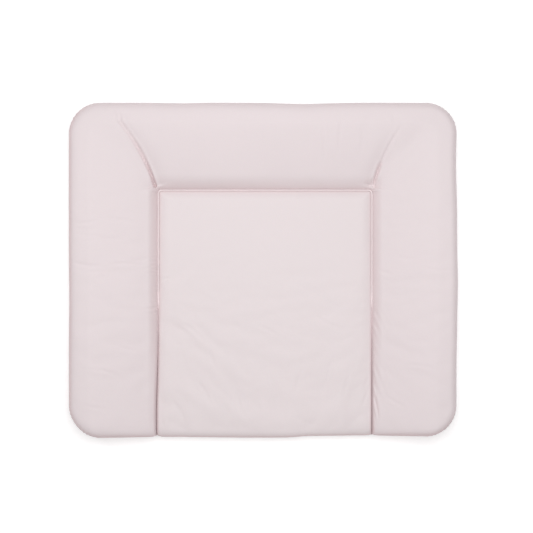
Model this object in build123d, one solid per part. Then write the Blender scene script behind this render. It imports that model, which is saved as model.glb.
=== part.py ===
from build123d import *
import os

# A wipe-clean baby changing mat. A thin foam base carries a raised bolster on its left, right and back
# sides, and a softer quilted lying surface between them, open at the front. +X is to the right, +Y is
# towards the back bolster and +Z is up. The origin is on the floor, under the middle of the mat.
# All sizes are in millimetres.

WIDTH = 850.0  # left to right
DEPTH = 730.0  # open front edge to back edge
BOLSTER_HEIGHT = 90.0  # floor to the top of the bolsters
CORNER_RADIUS = 70.0  # the four outer corners, seen from above
TOP_ROLL = 38.0  # radius that the cover rolls over at the outer top edge
BOTTOM_ROLL = 10.0  # radius that the back sheet turns up at
INNER_ROLL = 22.0  # radius at the top of a bolster's inner flank

SEAM_HALF_WIDTH = 235.0  # middle of the mat to either side seam
SEAM_BACK = 174.0  # middle of the mat to the back seam
SEAM_HEIGHT = 36.0  # floor to the seam, which is also the top of the base foam
SEAM_GAP = 3.0  # room between the two covers for the piping and its thread
SEAM_CORNER = 10.0  # radius of the seam at its two back corners
FLANK_LEAN = 4.0  # how far a bolster's inner flank leans back over its height
INNER_DROP = 24.0  # how much lower a bolster's top is on its inner side, like a wedge's

CENTRE_HEIGHT = 46.0  # floor to the top of the lying surface
CENTRE_FRONT_ROLL = 22.0  # radius at the lying surface's front edge

SHEET = 1.0  # coated cover sheet and back sheet
EASE = 0.2  # clearance between pieces that lie against each other
LINING = SHEET + EASE  # how far inside the mat's outer surface the filling starts
PERIMETER_SEAM_HEIGHT = 10.0  # floor to the seam that joins the covers to the back sheet
SEAM_ALLOWANCE_ROOM = 2.0  # room beside the base foam for the turned-in seam

FOAM_ROUND = 5.0  # radius at the base foam's top edge
FLEECE = 10.0  # fleece layer over each bolster's foam
MITRE_GAP = 2.0  # between neighbouring bolster fillings
MITRE_OUTER_X = 345.0  # where a mitre meets the back edge, from the middle of the mat

PIPING_RADIUS = 1.4
PIPING_SETBACK = 2.8  # front edge of the mat to the middle of the piping where it turns down
THREAD_RADIUS = 0.5
THREAD_SETBACK = 5.0  # the same for the seam's thread, which runs behind the piping
FRONT_SLOT = 13.0  # depth of the slot in the base foam's front edge that the turned-down seam lies in
DART_START = 40.0  # the dart's stitching, measured along the mitre from the seam's corner
DART_END = 120.0
BEYOND = 200.0  # how far a cutting shape runs past the mat

UP = (0, 0, 1)


def slab(bottom, top):
    """Everything between two heights."""
    size = WIDTH + BEYOND
    return Pos(0, 0, bottom) * Box(size, size, top - bottom, align=(Align.CENTER, Align.CENTER, Align.MIN))


def plan_outline(inset):
    """The mat's outline seen from above, moved inward by inset."""
    return RectangleRounded(WIDTH - 2 * inset, DEPTH - 2 * inset, CORNER_RADIUS - inset)


def crown(inset):
    """The mat's whole outer body with its top edge rolled, its surface moved inward by inset."""
    block = extrude(Pos(0, 0, inset) * plan_outline(inset), BOLSTER_HEIGHT - 2 * inset)
    return fillet(block.faces().sort_by(Axis.Z)[-1].edges(), TOP_ROLL - inset)


def body(inset):
    """The same body with its bottom edge rolled as well."""
    block = crown(inset)
    return fillet(block.faces().sort_by(Axis.Z)[0].edges(), BOTTOM_ROLL - inset)


def bolster_foot(inset):
    """Distance from the outer edge of the mat to a bolster's inner foot."""
    return WIDTH / 2 - SEAM_HALF_WIDTH - SEAM_GAP / 2 - inset


def bolster_top(distance):
    """Height of a bolster's top at a distance from the outer edge, on its sloping part."""
    run = bolster_foot(0) - FLANK_LEAN - TOP_ROLL
    return BOLSTER_HEIGHT - INNER_DROP * (distance - TOP_ROLL) / run


def bolster_profile(inset):
    """A bolster's cross-section: x runs inward from the outer edge of the mat, y runs up."""
    foot = bolster_foot(inset)
    top = BOLSTER_HEIGHT - inset
    crest = (foot - FLANK_LEAN, top - INNER_DROP)
    outline = Polygon((-BEYOND, -BEYOND), (-BEYOND, top), (TOP_ROLL, top), crest, (foot, SEAM_HEIGHT),
                      (foot, -BEYOND), align=None)
    return fillet(outline.vertices().sort_by_distance(crest)[0], INNER_ROLL - inset)


def run_of(profile, origin, inward):
    """A cross-section run straight through the mat, starting inward from origin."""
    along = Vector(*inward).cross(Vector(*UP))
    plane = Plane(origin=origin, x_dir=inward, z_dir=along)
    return extrude(plane * profile, WIDTH, both=True)


def bolster_runs(inset):
    """The three bolsters as straight runs crossing at the back corners, not yet cut to the outline."""
    profile = bolster_profile(inset)
    back_edge = SEAM_BACK + WIDTH / 2 - SEAM_HALF_WIDTH
    left = run_of(profile, (-WIDTH / 2, 0, 0), (1, 0, 0))
    right = run_of(profile, (WIDTH / 2, 0, 0), (-1, 0, 0))
    back = run_of(profile, (0, back_edge, 0), (0, -1, 0))
    return left + right + back


def bolster_ring(inset):
    """All three bolsters as one U-shaped block, its surface moved inward by inset."""
    return bolster_runs(inset) & body(inset)


def centre_plan(inset):
    """A block over the lying surface's outline, which is moved inward by inset."""
    half = SEAM_HALF_WIDTH - SEAM_GAP / 2 - inset
    back = SEAM_BACK - SEAM_GAP / 2 - inset
    front = -DEPTH / 2 + inset
    plan = Pos(0, (back + front) / 2) * Rectangle(2 * half, back - front)
    plan = fillet(plan.vertices().sort_by(Axis.Y)[-2:], SEAM_CORNER - SEAM_GAP / 2 - inset)
    return extrude(Pos(0, 0, inset) * plan, CENTRE_HEIGHT - 2 * inset)


def centre_block(inset):
    """The lying surface and what is under it as one block, its surface moved inward by inset."""
    block = centre_plan(inset)
    rim = block.faces().sort_by(Axis.Z)[-1].edges()
    front_edge = rim.sort_by(Axis.Y)[0]
    other_edges = ShapeList(edge for edge in rim if edge != front_edge)
    rolled = fillet(other_edges, SEAM_CORNER - SEAM_GAP / 2 - inset - EASE)
    front = -DEPTH / 2 + inset
    across = Plane(origin=(0, front, 0), x_dir=(0, 1, 0), z_dir=(1, 0, 0))
    front_profile = Polygon((0, -BEYOND), (0, CENTRE_HEIGHT - inset), (DEPTH, CENTRE_HEIGHT - inset),
                            (DEPTH, -BEYOND), align=None)
    top_front = front_profile.vertices().sort_by(Axis.Y)[-2:].sort_by(Axis.X)[0]
    front_profile = fillet(top_front, CENTRE_FRONT_ROLL - inset)
    return rolled & extrude(across * front_profile, WIDTH, both=True) & body(inset)


def mitre_line(side):
    """The two ends of a mitre in plan: inside the lying surface, and past the back edge. side is -1 for left."""
    inner = Vector(side * SEAM_HALF_WIDTH, SEAM_BACK)
    outer = Vector(side * MITRE_OUTER_X, DEPTH / 2)
    along = (outer - inner).normalized()
    return inner - along * 40, outer + along * BEYOND


def zone(name):
    """The part of the plan that one bolster's filling keeps to, clear of the mitres."""
    (left_in, left_out), (right_in, right_out) = mitre_line(-1), mitre_line(1)
    far = WIDTH
    outlines = {
        "left": [(-far, -far), (left_in.X, -far), (left_in.X, left_in.Y), (left_out.X, left_out.Y),
                 (-far, left_out.Y)],
        "right": [(far, -far), (right_in.X, -far), (right_in.X, right_in.Y), (right_out.X, right_out.Y),
                  (far, right_out.Y)],
        "back": [(left_in.X, left_in.Y), (left_out.X, left_out.Y), (right_out.X, right_out.Y),
                 (right_in.X, right_in.Y)],
    }
    plan = offset(Polygon(*outlines[name], align=None), -MITRE_GAP / 2, kind=Kind.INTERSECTION)
    return extrude(plan, 2 * BOLSTER_HEIGHT, dir=UP)


def filling_of(name, inset):
    """One bolster's filling above the base foam, its surface moved inward by inset."""
    above_base = slab(SEAM_HEIGHT + EASE, 2 * BOLSTER_HEIGHT)
    return bolster_runs(inset) & crown(inset) & zone(name) & above_base


def seam_path(height, setback):
    """The seam round the lying surface: up the front wall on one side, round the U and down the other.
    setback is how far behind the mat's front edge it runs up and down."""
    front = -DEPTH / 2 + setback
    foot = PERIMETER_SEAM_HEIGHT + 2 * THREAD_RADIUS
    side = SEAM_HALF_WIDTH
    return FilletPolyline((-side, front, foot), (-side, front, height), (-side, SEAM_BACK, height),
                          (side, SEAM_BACK, height), (side, front, height), (side, front, foot),
                          radius=SEAM_CORNER)


def rod(path, radius):
    """A round rod along a path."""
    return sweep(Plane(origin=path @ 0, z_dir=path % 0) * Circle(radius), path)


def back_sheet():
    """The underside sheet, flat on the floor and turned up at its edge to the perimeter seam."""
    return (body(0) - body(SHEET)) & slab(0, PERIMETER_SEAM_HEIGHT)


def below_the_seam():
    """The space inside the covers at the base foam's level, where no cover sheet runs."""
    return body(SHEET) & slab(0, SEAM_HEIGHT)


def bolster_cover():
    """The top cover's U-shaped panel: outer wall, bolster tops and inner flanks in one piece."""
    shell = bolster_ring(0) - bolster_ring(SHEET) - below_the_seam()
    return shell & slab(PERIMETER_SEAM_HEIGHT, 2 * BOLSTER_HEIGHT)


def centre_cover():
    """The top cover's centre panel: the lying surface and the front wall under it."""
    front_roll = centre_block(0) & slab(0, SEAM_HEIGHT) & centre_plan(SHEET)
    shell = centre_block(0) - (below_the_seam() - front_roll) - centre_block(SHEET)
    return shell & slab(PERIMETER_SEAM_HEIGHT, 2 * BOLSTER_HEIGHT)


def centre_fleece():
    """The soft layer that crowns the lying surface, over the base foam."""
    return centre_block(LINING) & slab(SEAM_HEIGHT + EASE, CENTRE_HEIGHT)


def base_foam():
    """The full-size foam sheet under everything, with room at its edge for the turned-in seam."""
    block = extrude(Pos(0, 0, LINING) * plan_outline(LINING + SEAM_ALLOWANCE_ROOM), SEAM_HEIGHT - LINING)
    block = fillet(block.faces().sort_by(Axis.Z)[0].edges(), BOTTOM_ROLL - LINING)
    block = fillet(block.faces().sort_by(Axis.Z)[-1].edges(), FOAM_ROUND)
    for side in (-1, 1):
        slot = Box(SEAM_GAP, 2 * FRONT_SLOT, 2 * SEAM_HEIGHT)
        block -= Pos(side * SEAM_HALF_WIDTH, -DEPTH / 2, SEAM_HEIGHT + PERIMETER_SEAM_HEIGHT) * slot
    return block


def perimeter_thread():
    """The closed line of stitching that joins both covers to the back sheet."""
    plan = plan_outline(LINING + 2 * THREAD_RADIUS)
    return rod((Pos(0, 0, PERIMETER_SEAM_HEIGHT) * plan).wire(), THREAD_RADIUS)


def dart_thread(side):
    """The stitching of the dart that takes the cover in over a back mitre. side is -1 for left."""
    inner, outer = Vector(side * SEAM_HALF_WIDTH, SEAM_BACK), Vector(side * MITRE_OUTER_X, DEPTH / 2)
    along = (outer - inner).normalized()
    ends = []
    for distance in (DART_START, DART_END):
        point = inner + along * distance
        lift = bolster_top(DEPTH / 2 - point.Y) - LINING - 2 * THREAD_RADIUS
        ends.append(Vector(point.X, point.Y, lift))
    return rod(Line(*ends), THREAD_RADIUS)


def nodes():
    """Every separate piece of the mat by name, from the floor up."""
    thread_height = SEAM_HEIGHT + EASE + THREAD_RADIUS
    piping_height = thread_height + THREAD_RADIUS + EASE + PIPING_RADIUS
    pieces = {
        "back_sheet": back_sheet(),
        "perimeter_seam_thread": perimeter_thread(),
        "base_foam": base_foam(),
        "centre_fleece": centre_fleece(),
        "centre_cover": centre_cover(),
        "seam_piping": rod(seam_path(piping_height, PIPING_SETBACK), PIPING_RADIUS),
        "inner_seam_thread": rod(seam_path(thread_height, THREAD_SETBACK), THREAD_RADIUS),
        "left_dart_thread": dart_thread(-1),
        "right_dart_thread": dart_thread(1),
        "bolster_cover": bolster_cover(),
    }
    for name in ("left", "right", "back"):
        foam = filling_of(name, LINING + FLEECE)
        pieces[name + "_bolster_foam"] = foam
        pieces[name + "_bolster_fleece"] = filling_of(name, LINING) - foam
    return pieces


os.makedirs("parts", exist_ok=True)
for node_name, shape in nodes().items():
    export_step(shape, f"parts/{node_name}.step")
    print(node_name, "solids", len(shape.solids()), "volume", round(shape.volume))
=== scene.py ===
import math

import bpy
import numpy as np
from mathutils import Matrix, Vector
from mathutils.bvhtree import BVHTree


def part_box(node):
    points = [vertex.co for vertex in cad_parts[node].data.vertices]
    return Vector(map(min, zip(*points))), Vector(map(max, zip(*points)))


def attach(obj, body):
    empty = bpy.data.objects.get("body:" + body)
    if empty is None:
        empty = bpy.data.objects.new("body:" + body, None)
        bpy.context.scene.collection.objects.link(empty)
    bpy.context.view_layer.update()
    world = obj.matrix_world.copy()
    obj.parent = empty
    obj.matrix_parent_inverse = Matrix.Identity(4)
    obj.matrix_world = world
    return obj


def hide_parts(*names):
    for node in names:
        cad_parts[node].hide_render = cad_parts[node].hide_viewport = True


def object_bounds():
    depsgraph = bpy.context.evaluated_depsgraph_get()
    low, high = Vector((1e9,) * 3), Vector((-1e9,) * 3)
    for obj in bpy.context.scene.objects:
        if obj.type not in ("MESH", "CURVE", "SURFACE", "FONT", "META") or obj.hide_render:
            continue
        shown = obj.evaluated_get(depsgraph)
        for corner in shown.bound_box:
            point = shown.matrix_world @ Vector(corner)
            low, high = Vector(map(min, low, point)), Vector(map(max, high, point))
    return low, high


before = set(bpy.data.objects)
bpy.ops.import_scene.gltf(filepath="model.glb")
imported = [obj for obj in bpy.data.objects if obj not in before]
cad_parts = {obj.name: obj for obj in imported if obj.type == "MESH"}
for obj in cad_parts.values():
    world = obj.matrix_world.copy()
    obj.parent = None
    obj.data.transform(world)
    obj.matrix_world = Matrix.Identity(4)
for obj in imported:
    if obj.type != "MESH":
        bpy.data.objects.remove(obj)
CAD_BOX = [list(corner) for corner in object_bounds()]

# All the shapes below are worked out in millimetres in the CAD frame, and turned into metres when a
# mesh is made. The mat's outline, seam and heights come from the CAD nodes.
MM = 0.001


def node_box(name):
    """Lowest and highest corner of a CAD node in millimetres."""
    low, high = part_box(name)
    return [c / MM for c in low], [c / MM for c in high]


HALF_W = CAD_BOX[1][0] / MM
HALF_D = CAD_BOX[1][1] / MM
TOP = CAD_BOX[1][2] / MM
PIPING_R = 1.4
SEAM_X, SEAM_Y = (c - PIPING_R for c in node_box("seam_piping")[1][:2])
CENTRE_TOP = node_box("centre_cover")[1][2]
RIM_Z = node_box("perimeter_seam_thread")[1][2] - 0.5  # height of the perimeter seam
SEAM_Z = node_box("base_foam")[1][2] + 3.0  # height of the U seam round the back half
SEAM_FRONT_Z = 37.0  # height it has come down to near the front edge
CORNER_R = 70.0  # the four outer corners
RIM_INSET = 6.0  # how far the perimeter seam is tucked in under the widest line


# ---------------------------------------------------------------- small mathematics


def smooth(edge0, edge1, x):
    """0 before edge0, 1 after edge1 and a smooth step between them."""
    t = np.clip((np.asarray(x, float) - edge0) / (edge1 - edge0), 0, 1)
    return t * t * (3 - 2 * t)


def mix(a, b, t):
    return a + (b - a) * t


def soft_min(a, b, reach):
    """The smaller of two values, with a rounded change-over where they differ by less than reach."""
    h = np.clip(0.5 + 0.5 * (b - a) / reach, 0, 1)
    return np.maximum(mix(b, a, h) - reach * h * (1 - h), 0)


def bell(x, middle, width):
    return np.exp(-(((np.asarray(x, float) - middle) / width) ** 2))


# ---------------------------------------------------------------- the cover's pattern grid
#
# Both top panels are one grid of points. Its columns and rows follow the U seam, and its outer rings
# follow the rounded outline: ring 0 is the perimeter seam and ring ROLL_RINGS ends the rolled edge.

WALL_RINGS = 10  # perimeter seam to the widest line
ROLL_RINGS = 32  # perimeter seam to the end of the roll on top
CORNER_RINGS = 40  # perimeter seam to the centre of the corner arcs
TOP_STEPS = 32  # corner arc centre to the start of the inner flank
FLANK_STEPS = 20
EDGE_STEPS = 12  # the rolled edge of the lying surface
STEP = 2.7
WIDEST_Z = 36.0
SIDE_FLANK = (22.0, 20.0)  # plan width of the side bolsters' inner flank, at the back and at the front
BACK_FLANK = 36.0
CENTRE_EDGE = 24.0  # plan width of the lying surface's own rolled edge
CREST_DROP = (28.0, 31.0)  # how much lower the bolsters' tops are at the inner flank, left and right
GROOVE = (2.3, 3.0)  # depth and half width of the groove that the seam's welt lies in
FRONT_BULGE = 2.5  # how far the lying surface's front edge swells forward
SEAM_BEND = 8.0  # radius of the U seam's two corners
SEAM_SHIFT = (4.2, 4.6, 2.5)  # how far the filling has pushed the seam on the left, right and back
NOTCH = (5.5, 2.5)  # how far the front edge draws in at the U seam, on the lying surface's left and elsewhere
NOTCH_REACH = 15.0
CREST_FROM = 45.0  # distance from the outline where the bolsters' tops start to fall inwards
CREST_SHORT = 65.0  # their fall is as long as the bolster is wide, less this
CREST_BLEND = 0.30  # share of the fall over which side and back bolsters' falls blend at the corners
LYING_BACK_RISE = 8.5  # height of the lying surface above the U seam at the back
LYING_CROWN = 1.5  # how much higher it is in the middle than at the side seams

K = CORNER_RINGS + TOP_STEPS + FLANK_STEPS  # columns from the outline to the U seam
CENTRE_COLUMNS = 2 * EDGE_STEPS + 2 * round((SEAM_X - CENTRE_EDGE) / STEP)
CENTRE_ROWS = EDGE_STEPS + 2 * round((HALF_D + SEAM_Y - CORNER_R - CENTRE_EDGE) / STEP / 2)
NX = 2 * K + CENTRE_COLUMNS
NY = CORNER_RINGS + CENTRE_ROWS + K
J, I = np.mgrid[0 : NY + 1, 0 : NX + 1]
SIDE_RING = np.minimum(I, NX - I)
BACK_RING = NY - J
RING = np.minimum(np.minimum(SIDE_RING, J), BACK_RING)
INNER_RING = np.minimum(SIDE_RING, BACK_RING)  # counts inwards to the U seam, at K
CENTRE = INNER_RING >= K
LEFT = I < NX / 2


def outer_profile(top, widest, roll, fullness):
    """Inset from the outline and height, as a share of the way to the top, for the outer rings."""
    ring = np.arange(CORNER_RINGS + 1)
    low = np.clip(ring / WALL_RINGS, 0, 1) * math.pi / 2
    high = np.clip((ring - WALL_RINGS) / (ROLL_RINGS - WALL_RINGS), 0, 1) * math.pi / 2
    power = 2 / fullness
    d = RIM_INSET * (1 - np.sin(low)) + roll * (1 - np.cos(high) ** power)
    z = mix(RIM_Z, widest, 1 - np.cos(low)) + (top - widest) * np.sin(high) ** power
    last = ring > ROLL_RINGS
    d[last] = mix(roll, CORNER_R, (ring[last] - ROLL_RINGS) / (CORNER_RINGS - ROLL_RINGS))
    return d, (z - RIM_Z) / (top - RIM_Z)


SOFT_D, SOFT_G = outer_profile(TOP, WIDEST_Z, 42.0, 4.2)
TIGHT_D, TIGHT_G = outer_profile(TOP, WIDEST_Z, 24.0, 3.2)
FRONT_D, FRONT_G = outer_profile(CENTRE_TOP, 25.0, 30.0, 2.8)

# The back sheet, on the same rings: out of the perimeter seam, round under it and flat on the floor.
BACK_ROLL = 14.0
BACK_ROLL_RINGS = 12
back_ring = np.arange(CORNER_RINGS + 1)
back_turn = np.clip(back_ring / BACK_ROLL_RINGS, 0, 1) * math.pi / 2
back_flat = np.clip((back_ring - BACK_ROLL_RINGS) / (CORNER_RINGS - BACK_ROLL_RINGS), 0, 1)
BACK_D = RIM_INSET + BACK_ROLL * (1 - np.cos(back_turn)) + (CORNER_R - RIM_INSET - BACK_ROLL) * back_flat
BACK_Z = RIM_Z * (1 - np.sin(back_turn))

COVER_EDGE = (SOFT_D, TIGHT_D, FRONT_D)
BACK_EDGE = (BACK_D, BACK_D, BACK_D)


def at_ring(soft, tight, tightness):
    """An outer profile's value at every grid point: soft where tightness is 0, tight where it is 1."""
    ring = np.minimum(RING, CORNER_RINGS)
    return mix(soft[ring], tight[ring], tightness)


def column_inset(edge, ring, width, flank, tightness):
    """Plan distance from the outline of each column of a bolster, whose inner flank is flank wide."""
    outer_ring = np.minimum(ring, CORNER_RINGS)
    outer = mix(edge[0][outer_ring], edge[1][outer_ring], tightness)
    top = mix(CORNER_R, width - flank, (ring - CORNER_RINGS) / TOP_STEPS)
    inner = width - flank + flank * np.sin(flank_turn(ring))
    on_top = (ring > CORNER_RINGS) & (ring <= CORNER_RINGS + TOP_STEPS)
    return np.where(ring <= CORNER_RINGS, outer, np.where(on_top, top, inner))


def flank_turn(ring):
    """0 at the crest of the inner flank and a right angle at the U seam."""
    return np.clip((ring - CORNER_RINGS - TOP_STEPS) / FLANK_STEPS, 0, 1) * math.pi / 2


def edge_turn(steps):
    """0 at the U seam and a right angle on top of the lying surface."""
    return np.clip(steps / EDGE_STEPS, 0, 1) * math.pi / 2


def plan(edge):
    """Plan position of every grid point with square corners, and how far forward it is, from 0 to 1."""
    rows = CENTRE_ROWS - EDGE_STEPS
    along = np.linspace(-HALF_D + CORNER_R, SEAM_Y - CENTRE_EDGE, rows + 1)
    rolled = SEAM_Y - CENTRE_EDGE * (1 - np.cos(edge_turn(np.arange(EDGE_STEPS - 1, -1, -1.0))))
    back = HALF_D - column_inset(edge, np.arange(K - 1, -1, -1), HALF_D - SEAM_Y, BACK_FLANK, 0)
    ys = np.concatenate([-HALF_D + edge[0], along[1:], rolled, back])
    y = np.broadcast_to(ys[:, None], I.shape).copy()
    forward = smooth(-70, -300, y)
    side = HALF_W - column_inset(edge, SIDE_RING, HALF_W - SEAM_X, mix(*SIDE_FLANK, forward), ~LEFT)
    steps = SIDE_RING - K
    middle = CENTRE_COLUMNS / 2 - EDGE_STEPS
    rolled = SEAM_X - CENTRE_EDGE * (1 - np.cos(edge_turn(steps)))
    flat = (SEAM_X - CENTRE_EDGE) * (1 - (steps - EDGE_STEPS) / middle)
    x = np.where(SIDE_RING <= K, side, np.where(steps <= EDGE_STEPS, rolled, flat))
    return np.where(LEFT, -x, x), y, forward


def round_corners(edge, x, y, tightness):
    """Moves the outer rings' points at the four corners on to arcs."""
    end_ring = np.minimum(J, BACK_RING)
    corner = (SIDE_RING < CORNER_RINGS) & (end_ring < CORNER_RINGS)
    near = np.minimum(SIDE_RING, end_ring)
    far = np.maximum(SIDE_RING, end_ring)
    radius = CORNER_R - at_ring(edge[0], edge[1], tightness)
    angle = math.pi / 4 * (CORNER_RINGS - far) / np.maximum(CORNER_RINGS - near, 1)
    long_way, short_way = radius * np.cos(angle), radius * np.sin(angle)
    on_side = SIDE_RING <= end_ring
    side_x, end_y = np.where(LEFT, -1, 1), np.where(J < NY / 2, -1, 1)
    arc_x = side_x * (HALF_W - CORNER_R + np.where(on_side, long_way, short_way))
    arc_y = end_y * (HALF_D - CORNER_R + np.where(on_side, short_way, long_way))
    return np.where(corner, arc_x, x), np.where(corner, arc_y, y)


def bend_seam(x, y):
    """Rounds the U seam's two corners, and draws the cover near them along."""
    u, v = SEAM_X - np.abs(x), SEAM_Y - y
    on_back = 0.5 + 0.5 * np.tanh((u - v) / 2.5)
    along = np.clip(mix(v, u, on_back), 0, SEAM_BEND)
    turn = math.pi / 4 * (1 + along / SEAM_BEND)
    near, far = SEAM_BEND * (1 - np.cos(turn)) - along, SEAM_BEND * (1 - np.sin(turn))
    pull = np.exp(-((np.hypot(u, v) / (2.2 * SEAM_BEND)) ** 4))
    u = u + pull * mix(far, near, on_back)
    v = v + pull * mix(near, far, on_back)
    return np.sign(x) * (SEAM_X - u), SEAM_Y - v


def wobble(x, y):
    """Draws the outline in by a millimetre or so where the real mat's edge isn't straight."""
    left = 1.0 * bell(y, -70, 70) + 2.5 * smooth(-290, -345, y)
    right = 2.5 * bell(y, 235, 70) + 1.5 * smooth(-120, -220, y) - 1.5 * bell(y, -30, 60)
    back = 2.5 * bell(x, 90, 70) + 1.2 * bell(x, -185, 40) - 2.0
    front = 3.0 * smooth(40, 110, x) - 2.0
    x = x + left * smooth(-250, -415, x) - right * smooth(250, 415, x)
    y = y - back * smooth(220, 355, y) + front * smooth(-220, -355, y)
    return x, y


def layout(edge):
    """Plan position of every grid point, how far forward it is and how tight the cover is there."""
    x, y, forward = plan(edge)
    tightness = smooth(0.45 * HALF_W, HALF_W - 10, x)
    front_row = np.minimum(J, CORNER_RINGS)
    front_edge = -HALF_D + mix(edge[0][front_row], edge[1][front_row], tightness)
    bulging = -HALF_D - FRONT_BULGE * bell(x, 0, 190) + edge[2][front_row]
    front_edge = np.where(CENTRE, bulging, front_edge)
    y = np.where(J <= CORNER_RINGS, front_edge, y)
    back_row = np.minimum(BACK_RING, CORNER_RINGS)
    back_edge = HALF_D - mix(edge[0][back_row], edge[1][back_row], tightness)
    y = np.where(BACK_RING <= CORNER_RINGS, back_edge, y)
    from_seam = np.abs(np.abs(x) - SEAM_X)
    notch = np.where(CENTRE & LEFT, *NOTCH) * np.clip(1 - from_seam / NOTCH_REACH, 0, 1) ** 2
    notch = notch * (1 - front_row / CORNER_RINGS) * smooth(-2, 8, J)
    x, y = round_corners(edge, x, y + notch, tightness)
    return x, y, forward, tightness


def settled_plan(x, y):
    """Moves plan points from the pattern's straight lines to where the filled mat's really are."""
    x, y = bend_seam(x, y)
    left, right, back = SEAM_SHIFT
    x = x + left * smooth(-150, -235, x) * (1 - smooth(-260, -400, x)) * smooth(-330, -120, y)
    x = x + right * smooth(150, 235, x) * (1 - smooth(260, 400, x))
    y = y + back * smooth(80, 174, y) * (1 - smooth(210, 330, y))
    return wobble(x, y)


def shape():
    """The smooth form of both panels, before any wrinkle: an array of grid points in millimetres."""
    x, y, forward, tightness = layout(COVER_EDGE)
    seam_z = mix(SEAM_Z, SEAM_FRONT_Z, smooth(-40, -330, y))
    side_fall = np.clip((HALF_W - np.abs(x) - CREST_FROM) / (HALF_W - SEAM_X - CREST_SHORT), 0, 1.2)
    back_fall = np.clip((HALF_D - y - CREST_FROM) / (HALF_D - SEAM_Y - CREST_SHORT), 0, 1.2)
    fall = soft_min(side_fall, back_fall, CREST_BLEND)
    crown = TOP - 1 - mix(*CREST_DROP, smooth(-100, 100, x)) * fall**1.2
    back_flank = BACK_RING <= SIDE_RING
    share = np.sin(flank_turn(INNER_RING))
    open_flank = share ** np.where(back_flank, 2.8, 2.0)
    shut_flank = 0.22 * share**2 + 0.78 * share**18
    sunk = mix(open_flank, shut_flank, np.where(back_flank, 0, forward))
    bolster = mix(crown, seam_z, sunk)

    share = np.cos(edge_turn(np.clip(INNER_RING - K, 0, EDGE_STEPS)))
    climb = mix(share**2, 0.25 * share**2 + 0.75 * share**20, forward)
    lying_z = mix(SEAM_Z + LYING_BACK_RISE, CENTRE_TOP - 1, smooth(170, -200, y))
    lying_z = lying_z + LYING_CROWN * (1 - (x / SEAM_X) ** 2)
    z = np.where(CENTRE, mix(lying_z, seam_z, climb), bolster)

    ring = np.minimum(RING, CORNER_RINGS)
    rise = np.where(CENTRE, FRONT_G[ring], at_ring(SOFT_G, TIGHT_G, tightness))
    from_seam = np.maximum(np.abs(x) - SEAM_X, y - SEAM_Y)
    z = z - GROOVE[0] * np.exp(-((from_seam / GROOVE[1]) ** 2))
    z = RIM_Z + (z - RIM_Z) * np.where(RING < CORNER_RINGS, rise, 1)
    x, y = settled_plan(x, y)
    return np.stack([x, y, z], axis=-1)


# ---------------------------------------------------------------- meshes


def grid_faces(keep):
    """Quads of a grid, as indices into its points in row order, whose four corners are all kept."""
    quads = keep[:-1, :-1] & keep[1:, :-1] & keep[:-1, 1:] & keep[1:, 1:]
    rows, columns = np.nonzero(quads)
    wide = keep.shape[1]
    first = rows * wide + columns
    return np.stack([first, first + 1, first + wide + 1, first + wide], axis=1)


def make_object(name, vertices, faces):
    """A smooth-shaded object in the scene, from vertices in millimetres and an array or a list of faces."""
    mesh = bpy.data.meshes.new(name)
    faces = faces if isinstance(faces, list) else faces.tolist()
    mesh.from_pydata((np.asarray(vertices) * MM).tolist(), [], faces)
    mesh.polygons.foreach_set("use_smooth", np.ones(len(mesh.polygons), bool))
    mesh.update()
    obj = bpy.data.objects.new(name, mesh)
    bpy.context.collection.objects.link(obj)
    return obj


def panel(name, points, keep):
    """One panel of the cover, from the grid's kept points, with a colour attribute of painted shade."""
    used, faces = np.unique(grid_faces(keep), return_inverse=True)
    obj = make_object(name, points.reshape(-1, 3)[used], faces.reshape(-1, 4))
    colour = np.ones((len(used), 4))
    # the colour attribute carries painted shade on the steep parts of the cover
    colour[:, :3] = painted_shade(points).reshape(-1, 3)[used]
    attribute = obj.data.attributes.new("painted_shade", "FLOAT_COLOR", "POINT")
    attribute.data.foreach_set("color", colour.reshape(-1))
    return obj


# What is added to 1 to give the factors of the cover's red, green and blue where it is steep, as painted
# shade: a deeper pink on the
# # inner flanks and a darker one on the rolled outer edges.
FLANK_PAINTED_SHADE = (0.018, -0.024, -0.028)
ROLL_PAINTED_SHADE = (-0.03, -0.135, -0.135)


def painted_shade(points):
    """The factors of red, green and blue for the cover's colour at every grid point: painted shade.

    The outer edges are painted darkest where they face left and forward."""
    across, along = np.gradient(points, axis=1), np.gradient(points, axis=0)
    normal = np.cross(across, along)
    normal /= np.maximum(np.linalg.norm(normal, axis=-1, keepdims=True), 1e-9)
    normal = blur(normal, 2)
    steep = smooth(0.02, 0.4, 1 - np.abs(normal[..., 2]))[..., None]
    outer = smooth(ROLL_RINGS + 4, ROLL_RINGS - 8, RING)[..., None]
    faces_front_left = np.maximum(0, np.maximum(-normal[..., :1], -normal[..., 1:2]))
    # painted shade on the rolled outer edges, darkest where they face left and forward
    roll_shade = steep * outer * (0.2 + 0.8 * faces_front_left)
    return 1 + steep * (1 - outer) * FLANK_PAINTED_SHADE + roll_shade * ROLL_PAINTED_SHADE


# ---------------------------------------------------------------- how the filled cover settles

SIM_STEP = 5.0
SIM_FRAMES = 22
SIM_CAP = 2.5  # furthest that a point's wrinkle may move it, in millimetres


def blur(values, passes):
    """Smooths an array of grid values by averaging each with its neighbours, passes times."""
    for _ in range(passes):
        for axis in (0, 1):
            padded = np.concatenate([values.take([0], axis), values, values.take([-1], axis)], axis)
            count = values.shape[axis]
            before, after = padded.take(range(count), axis), padded.take(range(2, count + 2), axis)
            values = (before + 2 * values + after) / 4
    return values


def surface_of(points):
    """A tree to cast rays at, of the whole cover, in millimetres."""
    faces = grid_faces(np.ones(I.shape, bool))
    return BVHTree.FromPolygons(points.reshape(-1, 3).tolist(), faces.tolist())


def height_on(tree, x, y):
    """Height of a surface under a plan point, or None beside it."""
    hit = tree.ray_cast(Vector((x, y, 500.0)), Vector((0.0, 0.0, -1.0)))[0]
    return None if hit is None else hit.z


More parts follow.
